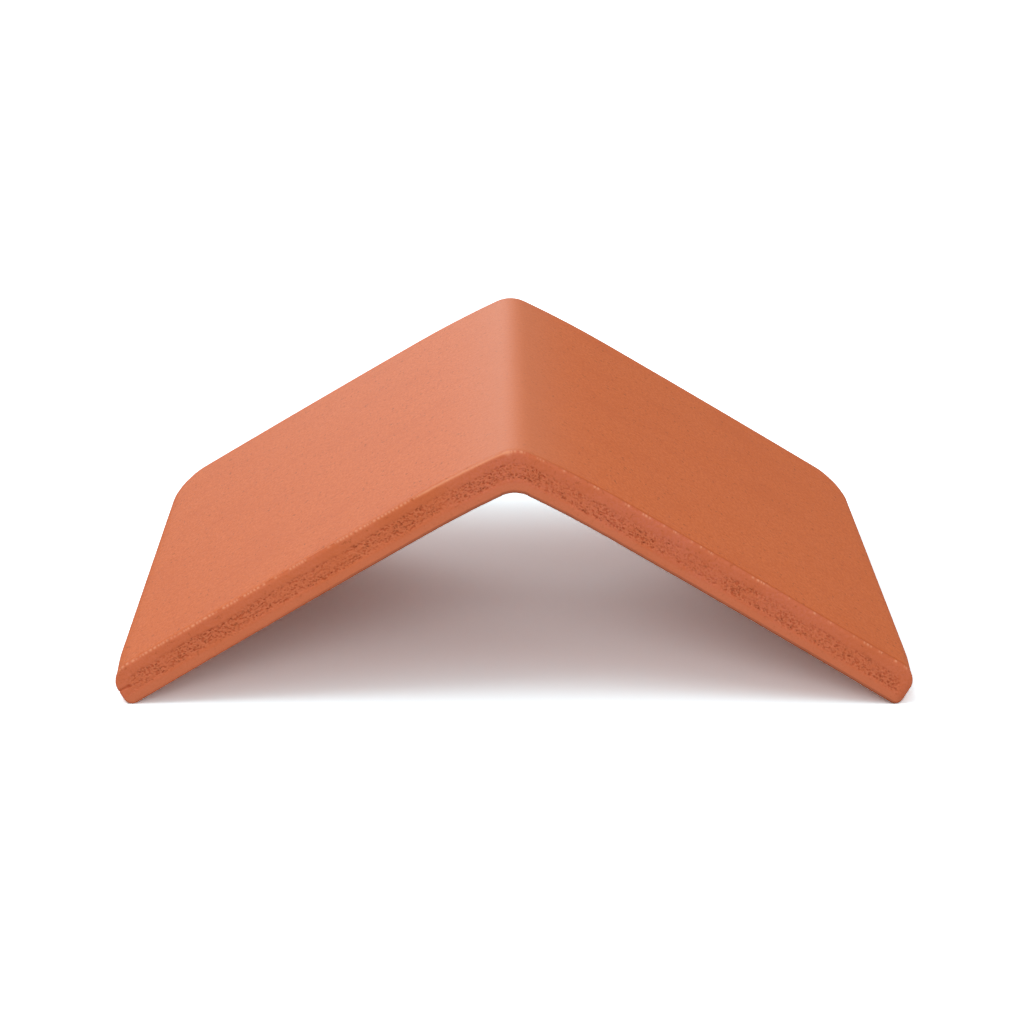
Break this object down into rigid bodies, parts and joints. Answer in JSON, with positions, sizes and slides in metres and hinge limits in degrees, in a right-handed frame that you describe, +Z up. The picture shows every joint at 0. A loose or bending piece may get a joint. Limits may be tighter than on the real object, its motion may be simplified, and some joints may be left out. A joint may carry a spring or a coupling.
{
  "type": "angle ridge tile",
  "caption": "Fired clay angle tile with flat wings meeting at a rounded ridge and rounded far corners, which caps a roof's ridge or verge and sheds rain down both sides.",
  "frame": {"origin": "centre of the tile on the floor it stands on, under the middle of the ridge", "axes": "+Z up, +Y along the ridge from the cut near end to the far end with rounded corners, +X across to the right wing seen from the near end"},
  "size_m": [0.2986, 0.3, 0.0972],
  "materials": {
    "terracotta": "matte unglazed fired clay, finely sanded faces and a torn, wire-cut end"
  },
  "bodies": {
    "root": {"angle_tile": "terracotta"}
  },
  "joints": []
}
